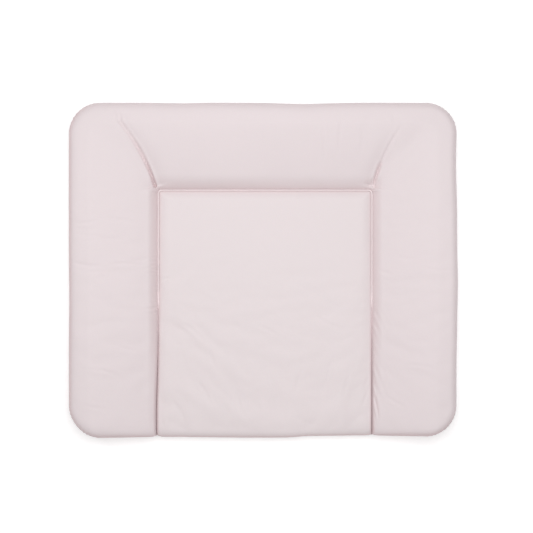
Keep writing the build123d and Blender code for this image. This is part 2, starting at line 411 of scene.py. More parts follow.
def sim_positions(seam, half):
    """The simulation grid's positions along one axis, one of them on the seam."""
    before = math.floor((seam + half) / SIM_STEP + 0.01)
    after = math.ceil((half - seam) / SIM_STEP - 0.01)
    return seam + SIM_STEP * np.arange(-before, after)


def settle(points):
    """Inflates a slightly oversized cover, held at its seams, on an even grid of its own.

    Returns what moved less the broad swelling, so only the wrinkles, with that grid's first corner.
    """
    tree = surface_of(points)
    xs, ys = sim_positions(SEAM_X, HALF_W), sim_positions(SEAM_Y, HALF_D)
    heights = [[height_on(tree, x, y) for x in xs] for y in ys]
    on_cover = np.array([[z is not None and z > WIDEST_Z / 2 for z in row] for row in heights])
    heights = np.where(on_cover, np.array(heights, float), 0)
    across, along = np.meshgrid(xs, ys)
    flat = np.stack([across, along, heights], axis=-1)
    start = flat + np.random.default_rng(11).normal(0, 0.25, flat.shape)
    faces = grid_faces(on_cover)
    used, faces = np.unique(faces, return_inverse=True)
    cloth = make_object("settling_cover", start.reshape(-1, 3)[used], faces.reshape(-1, 4))
    side_gap, back_gap = SEAM_X - np.abs(across), SEAM_Y - along
    beside = np.abs(np.minimum(side_gap, back_gap))
    seam_gap = np.where(back_gap > 0, beside, np.hypot(np.minimum(side_gap, 0), back_gap))
    edge = ~on_cover
    for axis in (0, 1):
        edge |= ~np.roll(on_cover, 1, axis) | ~np.roll(on_cover, -1, axis)
    edge[[0, -1]] = edge[:, [0, -1]] = True
    held = ((seam_gap < SIM_STEP / 2) | edge).reshape(-1)[used]
    cloth.vertex_groups.new(name="seams").add(np.nonzero(held)[0].tolist(), 1.0, "ADD")
    modifier = cloth.modifiers.new("cloth", "CLOTH")
    settings = modifier.settings
    settings.quality = 5
    settings.mass = 0.25
    settings.tension_stiffness = 12
    settings.compression_stiffness = 12
    settings.shear_stiffness = 4
    settings.bending_stiffness = 0.1
    settings.air_damping = 2
    settings.use_pressure = True
    settings.uniform_pressure_force = 0.8
    settings.shrink_min = -0.012
    settings.vertex_group_mass = "seams"
    settings.effector_weights.gravity = 0
    modifier.point_cache.frame_start = 1
    modifier.point_cache.frame_end = SIM_FRAMES
    scene = bpy.context.scene
    for number in range(1, SIM_FRAMES + 1):
        scene.frame_set(number)
    settled = cloth.evaluated_get(bpy.context.evaluated_depsgraph_get())
    where = np.empty(3 * len(used))
    settled.data.vertices.foreach_get("co", where)
    bpy.data.objects.remove(cloth, do_unlink=True)
    scene.frame_set(1)
    moved = np.zeros_like(flat).reshape(-1, 3)
    moved[used] = where.reshape(-1, 3) / MM - flat.reshape(-1, 3)[used]
    moved = moved.reshape(flat.shape)
    fine = moved - blur(moved, 40)
    length = np.linalg.norm(fine, axis=-1, keepdims=True)
    fine = fine * np.minimum(1, SIM_CAP / np.maximum(length, 1e-9))
    return blur(fine, 1), xs[0], ys[0]


def looked_up(grid, x0, y0, x, y):
    """Values of the settling's grid at plan points, bilinearly."""
    column = np.clip((x - x0) / SIM_STEP, 0, grid.shape[1] - 1.001)
    row = np.clip((y - y0) / SIM_STEP, 0, grid.shape[0] - 1.001)
    i, j = column.astype(int), row.astype(int)
    s, t = (column - i)[..., None], (row - j)[..., None]
    near = grid[j, i] * (1 - s) + grid[j, i + 1] * s
    far = grid[j + 1, i] * (1 - s) + grid[j + 1, i + 1] * s
    return near * (1 - t) + far * t


points = shape()


# ---------------------------------------------------------------- folds
#
# A fold is a line of points on the mat, seen from above. It presses a valley into the cover, and where it
# is sharp the grid is pulled on to it so that its bottom stays crisp.


FOLD_REACH = 45.0  # a fold leaves the cover further from it alone


def densify(line):
    """Points about half a millimetre apart along a line of plan points."""
    line = np.asarray(line, float)
    pieces = []
    for start, end in zip(line[:-1], line[1:]):
        count = max(2, int(np.linalg.norm(end - start) / 0.5))
        pieces.append(start + (end - start) * np.linspace(0, 1, count, endpoint=False)[:, None])
    return np.concatenate([*pieces, line[-1:]])


def nearest_on(samples, where):
    """For each plan point, its distance to a sampled line and its share of the way along the line."""
    distance = np.full(where.shape[:-1], 1e9)
    along = np.zeros(where.shape[:-1])
    low, high = samples.min(axis=0) - FOLD_REACH, samples.max(axis=0) + FOLD_REACH
    near = np.nonzero(((where > low) & (where < high)).all(axis=-1))
    gaps = np.linalg.norm(where[near][:, None, :] - samples[None], axis=-1)
    best = gaps.argmin(axis=1)
    distance[near] = gaps[np.arange(len(best)), best]
    along[near] = best / (len(samples) - 1)
    return distance, along


def walk(samples, points):
    """Grid points, as (row, column), that a sampled line passes nearest, joined by single steps."""
    where = points[..., :2]
    low, high = samples.min(axis=0) - 12, samples.max(axis=0) + 12
    inside = ((where > low) & (where < high)).all(axis=-1) & (RING > ROLL_RINGS // 2)
    candidates = np.argwhere(inside)
    spots = where[inside]
    path = []
    for sample in samples:
        row, column = candidates[np.linalg.norm(spots - sample, axis=1).argmin()]
        if path and path[-1] == (row, column):
            continue
        if path and path[-1][0] != row and path[-1][1] != column:
            path.append((row, path[-1][1]))
        path.append((row, column))
    return path


def fold(points, line, depth, width, start, end, sharp=True, shoulder=0.0):
    """Presses a fold into the points.

    depth in millimetres fades in over the share start of its length and out over the share end. shoulder
    raises the cover beside it by that share of the depth. Only a sharp fold's bottom is a crease."""
    samples = densify(line)
    if sharp:
        for row, column in walk(samples, points):
            gaps = np.linalg.norm(samples - points[row, column, :2], axis=1)
            points[row, column, :2] = samples[gaps.argmin()]
    distance, along = nearest_on(samples, points[..., :2])
    fade = smooth(0, max(start, 1e-6), along + 1e-9) * (1 - smooth(1 - end, 1, along))
    valley = np.exp(-distance / width) if sharp else np.exp(-((distance / (1.5 * width)) ** 2))
    valley = valley - shoulder * np.exp(-(((distance - 2.6 * width) / (1.6 * width)) ** 2))
    points[..., 2] -= depth * fade * valley
    return points


def mitre(side, bow, curve, length):
    """A back corner's fold, from the seam's corner back and outwards. side is -1 for left."""
    back = np.linspace(6, length, 14)
    out = bow * back + curve * back**2
    return np.stack([side * (SEAM_X + out), SEAM_Y + back], axis=1)


def wrinkled(points):
    """Adds the settled cover's wrinkles, more of them where the real cover is slack."""
    fine, x0, y0 = settle(points)
    x, y = points[..., 0], points[..., 1]
    slack = np.where(CENTRE, mix(0.5, 0.18, smooth(-80, 80, y)), mix(0.36, 0.15, smooth(120, 220, y)))
    inset = np.minimum(HALF_W - np.abs(x), HALF_D - np.abs(y))
    slack = slack * smooth(4, 24, inset) * smooth(0, 9, np.abs(INNER_RING - K))
    return points + looked_up(fine, x0, y0, x, y) * slack[..., None]


def gathers(points, side, low, high, pitch, reach, slant, height):
    """Ridges across a side seam between two y, fading over reach. slant turns them forward."""
    x, y = points[..., 0], points[..., 1]
    seam = side * SEAM_X + SEAM_SHIFT[side > 0]
    gap = np.where(CENTRE, 0, np.abs(x - seam))
    window = smooth(low - 12, low + 8, y) * (1 - smooth(high - 8, high + 12, y))
    window = window * np.where((x * side > 0) & ~CENTRE & (BACK_RING > K), 1, 0)
    swell = np.exp(-gap / reach) * (1 - np.exp(-gap / 4))
    uneven = 0.8 + 0.5 * np.sin(y / 23.0) + 0.4 * np.sin(y / 7.1 + 1)
    phase = (y + slant * gap) / pitch + 0.5 * np.sin(y / (2.7 * pitch) + 0.7)
    points[..., 2] += height * window * swell * uneven * np.sin(2 * math.pi * phase)
    return points


points = wrinkled(points)

# The two back corners' folds: a broad pinch, the fold itself, and the lines beside its outer half.
left_mitre, right_mitre = mitre(-1, 0.25, 0.0018, 184), mitre(1, 0.20, 0.0017, 150)
left_mitre = left_mitre + [SEAM_SHIFT[0] * 0.3, SEAM_SHIFT[2] * 0.5]
right_mitre = right_mitre + [SEAM_SHIFT[1], SEAM_SHIFT[2] * 0.5]
for line in (left_mitre, right_mitre):
    points = fold(points, line, 5, 13, start=0.02, end=0.85, sharp=False)
points = fold(points, left_mitre, 5.0, 2.1, start=0.02, end=0.26, sharp=False, shoulder=0.2)
points = fold(points, left_mitre[:10], 7.5, 1.6, start=0.02, end=0.85, shoulder=0.2)
points = fold(points, right_mitre[:7], 6.4, 2.4, start=0.25, end=0.4, shoulder=0.2)
points = fold(points, right_mitre[5:], 2.0, 1.7, start=0.15, end=0.6, sharp=False, shoulder=0.25)
points = fold(points, left_mitre[6:] + [8, 4], 1.8, 1.6, start=0.4, end=0.4, sharp=False)
points = fold(points, left_mitre[7:] + [-8, -3], 1.3, 1.6, start=0.4, end=0.5, sharp=False)
corner = np.array([SEAM_X + SEAM_SHIFT[1], SEAM_Y + SEAM_SHIFT[2]])
for reach in ((-17, 20), (-9, 27), (-1, 30), (9, 24)):
    line = [corner + [reach[0] * 0.25, 6], corner + reach]
    points = fold(points, line, 2.4, 1.3, start=0.2, end=0.6, sharp=False)

# The puckers that run forward from the side seams' closed fronts, and the nick in the left seam's flank.
for start, end, depth in (
    ((243, -266), (254, -332), 2.2), ((241, -236), (251, -284), 1.2), ((242, -300), (249, -346), 1.0),
    ((231, -262), (215, -308), 0.8), ((232, -230), (222, -262), 0.5), ((-225, -322), (-216, -352), 0.7),
):
    points = fold(points, [start, end], depth, 1.7, start=0.3, end=0.4, sharp=False, shoulder=0.3)
points = fold(points, [(-263, 4), (-243, 6)], 1.3, 1.3, start=0.3, end=0.2, sharp=False, shoulder=0.6)

# Creases left by folding and handling, each from one plan point to another with its depth.
CREASES = [
    ((-420, 104), (-352, 111), 0.7), ((-352, 111), (-262, 96), 0.6), ((-415, 82), (-330, 78), 0.5),
    ((-400, 58), (-300, 66), 0.4), ((-418, 20), (-345, 10), 0.7), ((-345, 10), (-244, 6), 0.9),
    ((-300, 22), (-246, 28), 0.5), ((-404, -12), (-322, -4), 0.4), ((-262, -60), (-246, -75), 0.6),
    ((252, -2), (284, -12), 0.8), ((340, 8), (420, 2), 0.6), ((284, 28), (330, 20), 0.4),
    ((390, 118), (422, 128), 0.4),
    ((118, 352), (128, 210), 0.5), ((176, 348), (170, 232), 0.6), ((212, 330), (206, 236), 0.45),
    ((284, 356), (290, 300), 0.4), ((-40, 352), (-52, 290), 0.35), ((-150, 350), (-142, 300), 0.35),
    ((-217, -24), (-206, -14), 1.5), ((-221, -60), (-206, -48), 0.5), ((-190, -110), (-120, -168), 0.5),
    ((-120, -168), (-92, -232), 0.55), ((-150, -236), (-112, -312), 0.6), ((-60, -262), (-36, -330), 0.5),
    ((10, -228), (36, -296), 0.5), ((92, -206), (70, -282), 0.45), ((150, -180), (128, -262), 0.5),
    ((196, -214), (178, -292), 0.6), ((-204, -282), (-170, -342), 0.7), ((60, -318), (128, -340), 0.4),
    ((-20, -120), (48, -156), 0.35), ((110, -96), (176, -128), 0.35), ((-8, 60), (6, 38), 0.4),
    ((-330, -160), (-258, -176), 0.4), ((-392, -214), (-300, -236), 0.4), ((-404, -286), (-330, -300), 0.35),
    ((300, -206), (392, -222), 0.35), ((262, -268), (318, -300), 0.5), ((330, 96), (420, 88), 0.3),
]


def creased(points, creases):
    """Presses a slightly bowed, soft-ended crease into the points for each pair of plan points."""
    for number, (start, end, depth) in enumerate(creases):
        start, end = np.array(start, float), np.array(end, float)
        aside = np.array([start[1] - end[1], end[0] - start[0]]) * (0.07 if number % 2 else -0.06)
        t = np.linspace(0, 1, 9)[:, None]
        line = mix(start, end, t) + aside * 4 * t * (1 - t)
        points = fold(points, line, depth, 2.4, start=0.35, end=0.45, sharp=False, shoulder=0.35)
    return points


points = creased(points, CREASES)


def slackened(points):
    """Lets the lying surface's front half go in soft waves that run forward, and quilts it a little."""
    x, y = points[..., 0], points[..., 1]
    inside = smooth(0, 26, INNER_RING - K) * smooth(0, 16, J)
    front = np.where(CENTRE, smooth(-120, -270, y) * inside, 0)
    waves = 0.9 * np.sin(x / 8.6 + 0.9 * np.sin(y / 60)) * (0.55 + 0.45 * np.sin(x / 31 + 1.2))
    lumps = 0.8 * np.sin(x / 21 + y / 34) * np.sin(y / 27 - x / 49 + 0.8)
    points[..., 2] += front * (waves * smooth(-200, -330, y) + lumps)
    return points


points = slackened(points)


def rim_gathers(points, pitch, height):
    """Gathers along the perimeter seam, strongest round the corners, where the edge is eased in."""
    x, y = points[..., 0], points[..., 1]
    corner_x = np.sign(x) * (HALF_W - CORNER_R)
    corner_y = np.sign(y) * (HALF_D - CORNER_R)
    bend = np.arctan2(np.abs(y) - np.abs(corner_y), np.abs(x) - np.abs(corner_x))
    in_corner = (np.abs(x) > HALF_W - CORNER_R) & (np.abs(y) > HALF_D - CORNER_R)
    on_side = HALF_W - np.abs(x) < HALF_D - np.abs(y)
    along = np.where(in_corner, bend * CORNER_R, np.where(on_side, y, x))
    strength = np.where(in_corner, np.sin(2 * np.clip(bend, 0, math.pi / 2)) ** 0.5, 0)
    uneven = 0.6 + 0.4 * np.sin(along / 17.0 + np.sign(x) * 2 + np.sign(y)) * np.sin(along / 5.3)
    wave = np.sin(2 * math.pi * along / pitch + 1.5 * np.sin(along / 13.0))
    rings = smooth(0, 4, RING) * (1 - smooth(14, 27, RING))
    shift = height * strength * uneven * wave * rings
    outward = np.stack([np.cos(bend) * np.sign(x), np.sin(bend) * np.sign(y)], axis=-1)
    points[..., :2] += outward * np.where(in_corner, shift, 0)[..., None]
    return points


points = rim_gathers(points, 9.5, 0.9)
points = gathers(points, -1, -92, 32, 9.0, 9, 0.1, 2.6)
points = gathers(points, 1, -332, -90, 34.0, 11, 2.6, 1.3)


# ---------------------------------------------------------------- pieces


CLOTH_MM = 0.8  # thickness of the coated fabric
AIR = 1.0  # left between a filling and what is round it


def thicken(obj):
    """Turns an open panel into a closed sheet of cloth, its thickness behind it."""
    solid = obj.modifiers.new("thickness", "SOLIDIFY")
    solid.thickness = CLOTH_MM * MM
    solid.offset = -1
    evaluated = obj.evaluated_get(bpy.context.evaluated_depsgraph_get())
    mesh = bpy.data.meshes.new_from_object(evaluated)
    obj.modifiers.clear()
    obj.data = mesh
    mesh.polygons.foreach_set("use_smooth", np.ones(len(mesh.polygons), bool))
    return obj


def even(line, pitch, closed=False):
    """Points at equal distances along a line of points, with the direction at each."""
    line = np.asarray(line, float)
    if closed:
        line = np.concatenate([line, line[:1]])
    length = np.concatenate([[0], np.cumsum(np.linalg.norm(np.diff(line, axis=0), axis=1))])
    count = max(2, round(length[-1] / pitch))
    at = np.linspace(0, length[-1], count + 1)
    if closed:
        at = at[:-1]

    def spots_at(distances):
        return np.stack([np.interp(distances, length, line[:, k]) for k in range(3)], axis=1)

    way = spots_at(np.minimum(at + 0.5, length[-1])) - spots_at(np.maximum(at - 0.5, 0))
    return spots_at(at), way / np.maximum(np.linalg.norm(way, axis=1, keepdims=True), 1e-9)


def tube(line, radius, sides, narrow=1.0):
    """Vertices and faces of a blunt-ended tube. narrow is its width as a share of its height."""
    line = np.asarray(line, float)
    count = len(line)
    way = np.gradient(line, axis=0)
    way /= np.maximum(np.linalg.norm(way, axis=1, keepdims=True), 1e-9)
    across = np.cross(way, [0.0, 0.0, 1.0])
    across /= np.maximum(np.linalg.norm(across, axis=1, keepdims=True), 1e-9)
    over = np.cross(across, way)
    turn = np.arange(sides) * 2 * math.pi / sides
    radius = np.broadcast_to(np.asarray(radius, float), count)
    turn = turn[None, :, None]
    ring = narrow * np.cos(turn) * across[:, None] + np.sin(turn) * over[:, None]
    vertices = (line[:, None] + ring * radius[:, None, None]).reshape(-1, 3)
    start = np.arange(count - 1)[:, None] * sides
    a = start + np.arange(sides)[None]
    b = start + ((np.arange(sides) + 1) % sides)[None]
    faces = np.stack([a, a + sides, b + sides, b], axis=-1).reshape(-1, 4).tolist()
    tips = np.stack([line[0] - way[0] * radius[0] * 0.6, line[-1] + way[-1] * radius[-1] * 0.6])
    first, last, end = count * sides, count * sides + 1, (count - 1) * sides
    faces += [[k, (k + 1) % sides, first] for k in range(sides)]
    faces += [[end + (k + 1) % sides, end + k, last] for k in range(sides)]
    return np.concatenate([vertices, tips]), faces


def stitches(name, line, pitch, length, radius, outward=None, closed=False):
    """A row of separate sewn stitches along a line of points, each bowed outward with its ends sunk in.

    outward is the point that the stitches face away from in plan, or None where they face up."""
    spots, ways = even(line, pitch, closed)
    t = np.linspace(-1, 1, 5)
    vertices, faces = [], []
    for spot, way in zip(spots, ways):
        out = np.array([0.0, 0.0, 1.0])
        if outward is not None:
            out = np.array([way[1], -way[0], 0.0])
            out *= 1 if out @ (spot - outward) > 0 else -1
        bow = spot + way * (t[:, None] * length / 2) + out * radius * (0.7 - 1.3 * t[:, None] ** 2)
        ring, quads = tube(bow, radius * (1 - 0.4 * t**2), 6)
        offset = len(vertices) * len(ring)
        vertices.append(ring)
        faces += [[index + offset for index in quad] for quad in quads]
    return make_object(name, np.concatenate(vertices), faces)


def closed_slab(name, x, y, low, high):
    """A closed solid between two height fields on the same grid of plan points."""
    rows, columns = x.shape
    under = np.stack([x, y, low], axis=-1).reshape(-1, 3)
    over = np.stack([x, y, high], axis=-1).reshape(-1, 3)
    keep = np.ones(x.shape, bool)
    top = grid_faces(keep) + len(under)
    bottom = grid_faces(keep)[:, ::-1]
    index = np.arange(rows * columns).reshape(rows, columns)
    loop = np.concatenate([index[0, :], index[1:, -1], index[-1, -2::-1], index[-2:0:-1, 0]])
    after = np.roll(loop, -1)
    wall = np.stack([loop, after, after + len(under), loop + len(under)], axis=1)
    return make_object(name, np.concatenate([under, over]), np.concatenate([bottom, top, wall]))


def blunted(high, low, rounding, steps):
    """Rounds a slab's upper edges over its outer grid steps."""
    rows, columns = high.shape
    j, i = np.mgrid[0:rows, 0:columns]
    depth = np.minimum(np.minimum(i, columns - 1 - i), np.minimum(j, rows - 1 - j))
    near = np.clip(1 - depth / steps, 0, 1)
    return np.maximum(high - rounding * (1 - np.sqrt(1 - near**2)), mix(low, high, 0.35))


cover_tree = surface_of(points)


def cover_height(x, y):
    """Height of the cover over an array of plan points, 0 beside it."""
    heights = [height_on(cover_tree, float(a), float(b)) for a, b in zip(x.ravel(), y.ravel())]
    return np.array([0.0 if z is None else z for z in heights]).reshape(x.shape)


MAP_STEP = 2.5
MAP_BORDER = 5
MAP_SPREAD = 5  # map steps that each low place is spread over
WELT_DEPTH = 4.5  # how far the welt's flange hangs below the U seam
WELT_FIRST_ROW = 6  # the grid row at the front edge where the welt and the seam's stitches end
map_x = np.arange(-HALF_W - MAP_BORDER, HALF_W + MAP_BORDER + 1, MAP_STEP)
map_y = np.arange(-HALF_D - MAP_BORDER, HALF_D + MAP_BORDER + 1, MAP_STEP)
lowest = cover_height(*np.meshgrid(map_x, map_y))
nearest_column = np.round((points[..., 0] - map_x[0]) / MAP_STEP).astype(int)
nearest_row = np.round((points[..., 1] - map_y[0]) / MAP_STEP).astype(int)
grid_z = points[..., 2] - WELT_DEPTH * (INNER_RING == K)
np.minimum.at(lowest, (nearest_row, nearest_column), np.where(RING > ROLL_RINGS // 2, grid_z, TOP))
for _ in range(MAP_SPREAD):
    for axis in (0, 1):
        lowest = np.minimum(lowest, np.minimum(np.roll(lowest, 1, axis), np.roll(lowest, -1, axis)))


def room_under(x, y):
    """How high a filling may come at plan points: under the lowest cover within about a centimetre."""
    column = np.clip(np.round((x - map_x[0]) / MAP_STEP).astype(int), 0, len(map_x) - 1)
    row = np.clip(np.round((y - map_y[0]) / MAP_STEP).astype(int), 0, len(map_y) - 1)
    return lowest[row, column] - CLOTH_MM - AIR


def outline_x(y, inset):
    """How far from the middle the outline is at a given y, less an inset."""
    over = np.clip(np.abs(y) - (HALF_D - CORNER_R), 0, CORNER_R - inset - 0.5)
    return HALF_W - CORNER_R + np.sqrt((CORNER_R - inset) ** 2 - over**2)


FILLING_INSET = 12.0  # from the outline to the bolsters' fillings
SEAM_GAP = (14.0, 16.0)  # from the U seam to the side bolsters' fillings and to the back bolster's
MITRE_GAP = 3.0  # from a mitre to the filling on each side of it
MITRE_TIP = 24.0  # how far inside the back filling's own edge the side fillings end


def side_patch(side, columns, rows):
    """Plan points over a side bolster, from its outer edge inwards and from the front to the mitre."""
    u, v = np.meshgrid(np.linspace(0, 1, columns), np.linspace(0, 1, rows))
    inner = SEAM_X + SEAM_GAP[0]
    run = HALF_W - SEAM_X
    back = HALF_D - MITRE_TIP - FILLING_INSET - MITRE_GAP
    front = -HALF_D + FILLING_INSET + 2
    outer_y = mix(front, back, v)
    x = mix(outline_x(outer_y, FILLING_INSET), inner, u)
    mitre_y = SEAM_Y + (x - SEAM_X) / run * (HALF_D - SEAM_Y) - MITRE_GAP
    y = mix(front, np.minimum(mitre_y, back), v)
    return side * x, y


def back_patch(columns, rows):
    """Plan points over the back bolster, between its two mitres."""
    u, v = np.meshgrid(np.linspace(-1, 1, columns), np.linspace(0, 1, rows))
    y = mix(SEAM_Y + SEAM_GAP[1], HALF_D - FILLING_INSET, v)
    run = (HALF_W - SEAM_X) / (HALF_D - SEAM_Y)
    reach = np.minimum(SEAM_X + (y - SEAM_Y) * run - MITRE_GAP, outline_x(y, FILLING_INSET))
    return u * reach, y


bolster = panel("bolster_panel", points, INNER_RING <= K)
centre = panel("lying_surface_panel", points, CENTRE)
for obj in (bolster, centre):
    thicken(obj)

seam_path = [(j, K) for j in range(NY - K)] + [(NY - K, i) for i in range(K, NX - K)]
seam_path += [(j, NX - K) for j in range(NY - K, -1, -1)]
seam_line = np.array([points[j, i] for j, i in seam_path])
visible = [k for k, (j, i) in enumerate(seam_path) if j >= WELT_FIRST_ROW]
welt_line = seam_line[visible[0] : visible[-1] + 1]
sunk_in = smooth(-20, -130, welt_line[:, 1])
welt_line = welt_line + np.outer(GROOVE[0] + mix(0.9, -6.5, sunk_in), [0, 0, 1])
spots, _ = even(welt_line, 2.0)
vertices, faces = tube(spots, PIPING_R, 12)
flange, flange_faces = tube(spots - [0, 0, 2.0], 2.2, 8, narrow=0.25)
faces += [[index + len(vertices) for index in face] for face in flange_faces]
welt = make_object("piping_welt", np.concatenate([vertices, flange]), faces)

rim_path = [(0, i) for i in range(NX)] + [(j, NX) for j in range(NY)]
rim_path += [(NY, i) for i in range(NX, 0, -1)] + [(j, 0) for j in range(NY, 0, -1)]
rim_line = np.array([points[j, i] for j, i in rim_path])
mat_middle = np.zeros(3)
rim_stitches = stitches("perimeter_stitches", rim_line, 4.0, 3.0, 0.45, outward=mat_middle, closed=True)

DITCH_STEPS = 2  # grid steps from the U seam to its stitches, on the lying surface's side
last_row, last_column = NY - K - DITCH_STEPS, NX - K - DITCH_STEPS
ditch_path = [(min(j, last_row), min(max(i, K + DITCH_STEPS), last_column)) for j, i in seam_path]
ditch = np.array([points[j, i] for j, i in ditch_path])[visible[0] : visible[-1] + 1]
seam_stitches = stitches("inner_seam_stitches", ditch, 3.5, 2.5, 0.35)


DART_START, DART_END = 25, 110  # the part of each mitre that is stitched, from the seam's corner


def dart_line(line):
    """The bottom of a mitre fold where it is stitched, lying on the cover."""
    samples = densify(line)
    away = np.linalg.norm(samples - samples[0], axis=1)
    samples = samples[(away > DART_START) & (away < DART_END)][::3]
    heights = cover_height(samples[:, 0], samples[:, 1])
    return np.column_stack([samples, heights - 0.8])


left_dart = stitches("left_dart_stitches", dart_line(left_mitre), 3.5, 2.5, 0.3)
right_dart = stitches("right_dart_stitches", dart_line(right_mitre), 3.5, 2.5, 0.3)

back_x, back_y, _, _ = layout(BACK_EDGE)
back_x, back_y = settled_plan(back_x, back_y)
back_points = np.stack([back_x, back_y, BACK_Z[np.minimum(RING, CORNER_RINGS)]], axis=-1)[::2, ::2]
back_faces = grid_faces(np.ones(back_points.shape[:2], bool))[:, ::-1]
back = make_object("back_panel", back_points.reshape(-1, 3), back_faces)
thicken(back)

FLEECE_MM = 9.0
FLEECE_GAP = 9.0  # from the U seam to the lying surface's fleece
FLEECE_FRONT = 22.0  # from the front edge to it
BASE_INSET = 20.0
LAYER_GAP = 0.4  # between two layers of filling
base_top = SEAM_Z - 1.5


def filling(name, x, y, low, high, rounding, steps):
    """A layer of filling between two heights, its upper edges rounded."""
    high = np.maximum(high, low + 1.5)
    return closed_slab(name, x, y, low, blunted(high, low, rounding, steps))


u, v = np.meshgrid(np.linspace(-1, 1, 121), np.linspace(-1, 1, 105))
base_y = v * (HALF_D - BASE_INSET)
base_x = u * outline_x(base_y, BASE_INSET)
base_low = np.full(base_x.shape, CLOTH_MM + AIR)
base_high = np.minimum(room_under(base_x, base_y), base_top)
base = filling("base_foam_block", base_x, base_y, base_low, base_high, 8, 3)

u, v = np.meshgrid(np.linspace(-1, 1, 97), np.linspace(0, 1, 105))
fleece_x = u * (SEAM_X - FLEECE_GAP)
fleece_y = mix(-HALF_D + FLEECE_FRONT, SEAM_Y - FLEECE_GAP, v)
room = room_under(fleece_x, fleece_y)
fleece_low = np.full(room.shape, base_top + LAYER_GAP)
centre_fleece = filling("lying_surface_fleece", fleece_x, fleece_y, fleece_low, room, 3, 3)

bolster_fillings = {}
patches = {"left": side_patch(-1, 41, 105), "right": side_patch(1, 41, 105), "back": back_patch(121, 41)}
for place, (x, y) in patches.items():
    room = room_under(x, y)
    foam_low = np.full(room.shape, base_top + LAYER_GAP)
    foam_top = np.maximum(room - FLEECE_MM, foam_low + 2)
    fleece = filling(f"{place}_fleece_wrap", x, y, foam_top + LAYER_GAP, room, 3, 2)
    foam = filling(f"{place}_foam_bolster", x, y, foam_low, foam_top - LAYER_GAP / 2, 5, 2)
    bolster_fillings[place] = (foam, fleece)


# ---------------------------------------------------------------- materials


def material(name, color, rough):
    mat = bpy.data.materials.new(name)
    mat.use_nodes = True
    shader = mat.node_tree.nodes["Principled BSDF"]
    shader.inputs["Base Color"].default_value = (*color, 1)
    shader.inputs["Roughness"].default_value = rough
    return mat


def node(mat, kind, values=None, **settings):
    """A new shader node with its settings and its input values set."""
    made = mat.node_tree.nodes.new(kind)
    for key, value in settings.items():
        setattr(made, key, value)
    for key, value in (values or {}).items():
        made.inputs[key].default_value = value
    return made


def link(mat, source, output, target, socket):
    mat.node_tree.links.new(source.outputs[output], target.inputs[socket])


def shade(color, factor):
    return (*[c * factor for c in color], 1)


BANDS_PER_UNIT = 0.314  # a wave texture's scale for one band in each unit of length
BLOTCH = 0.12  # how far apart the mottling's patches are, in metres


def fabric(name, color, rough, cell, bump, mottle, sheen=0.0, painted_shade_colour=False):
    """Cloth: a fine weave of cell metres as bump, soft mottling, and a little sheen.

    Where asked, its colour is multiplied by the mesh's own colour attribute of painted shade."""
    mat = material(name, color, rough)
    shader = mat.node_tree.nodes["Principled BSDF"]
    shader.inputs["Sheen Weight"].default_value = sheen
    shader.inputs["Sheen Roughness"].default_value = 0.5
    place = node(mat, "ShaderNodeTexCoord")
    wide = node(mat, "ShaderNodeTexNoise", {"Scale": 1 / BLOTCH, "Detail": 3.0, "Roughness": 0.55})
    link(mat, place, "Object", wide, "Vector")
    fine = node(mat, "ShaderNodeTexNoise", {"Scale": 1 / (cell * 3), "Detail": 2.0, "Roughness": 0.6})
    link(mat, place, "Object", fine, "Vector")
    tint = node(mat, "ShaderNodeValToRGB")
    tint.color_ramp.elements[0].position, tint.color_ramp.elements[1].position = 0.3, 0.7
    tint.color_ramp.elements[0].color = shade(color, 1 - mottle)
    tint.color_ramp.elements[1].color = shade(color, 1 + mottle)
    link(mat, wide, "Fac", tint, "Fac")
    grain = node(mat, "ShaderNodeMix", {"Factor": 0.06}, data_type="RGBA", blend_type="MULTIPLY")
    link(mat, tint, "Color", grain, 6)
    link(mat, fine, "Color", grain, 7)
    coloured = grain
    # multiplies in the painted shade held in the mesh's colour attribute
    if painted_shade_colour:
        shade_there = node(mat, "ShaderNodeAttribute", attribute_name="painted_shade")
        coloured = node(mat, "ShaderNodeMix", {"Factor": 1.0}, data_type="RGBA", blend_type="MULTIPLY")
        link(mat, shade_there, "Color", coloured, 7)
        link(mat, grain, 2, coloured, 6)
    link(mat, coloured, 2, shader, "Base Color")
    weave = node(mat, "ShaderNodeMath", operation="MAXIMUM")
    yarn = {"Scale": BANDS_PER_UNIT / cell, "Distortion": 1.0, "Detail": 1.0, "Detail Scale": 2.0}
    for index, direction in enumerate(("X", "Y")):
        wave = node(mat, "ShaderNodeTexWave", yarn, bands_direction=direction)
        link(mat, place, "Object", wave, "Vector")
        link(mat, wave, "Fac", weave, index)
    relief = node(mat, "ShaderNodeBump", {"Strength": bump, "Distance": cell * 0.4})
    link(mat, weave, 0, relief, "Height")
    link(mat, relief, "Normal", shader, "Normal")
    range_ends = {"From Min": 0.3, "From Max": 0.7, "To Min": rough - 0.05, "To Max": rough + 0.05}
    worn = node(mat, "ShaderNodeMapRange", range_ends)
    link(mat, wide, "Fac", worn, "Value")
    link(mat, worn, "Result", shader, "Roughness")
    return mat


def porous(name, color, rough, cell, bump):
    """Foam or fleece: cells or fibres of about cell metres, as bump and as a change of colour."""
    mat = material(name, color, rough)
    shader = mat.node_tree.nodes["Principled BSDF"]
    place = node(mat, "ShaderNodeTexCoord")
    pores = node(mat, "ShaderNodeTexVoronoi", {"Scale": 1 / cell, "Randomness": 1.0})
    link(mat, place, "Object", pores, "Vector")
    tint = node(mat, "ShaderNodeValToRGB")
    tint.color_ramp.elements[0].color = shade(color, 0.78)
    tint.color_ramp.elements[1].color = shade(color, 1.0)
    tint.color_ramp.elements[1].position = 0.45
    link(mat, pores, "Distance", tint, "Fac")
    link(mat, tint, "Color", shader, "Base Color")
    relief = node(mat, "ShaderNodeBump", {"Strength": bump, "Distance": cell * 0.5})
    link(mat, pores, "Distance", relief, "Height")
    link(mat, relief, "Normal", shader, "Normal")
    return mat


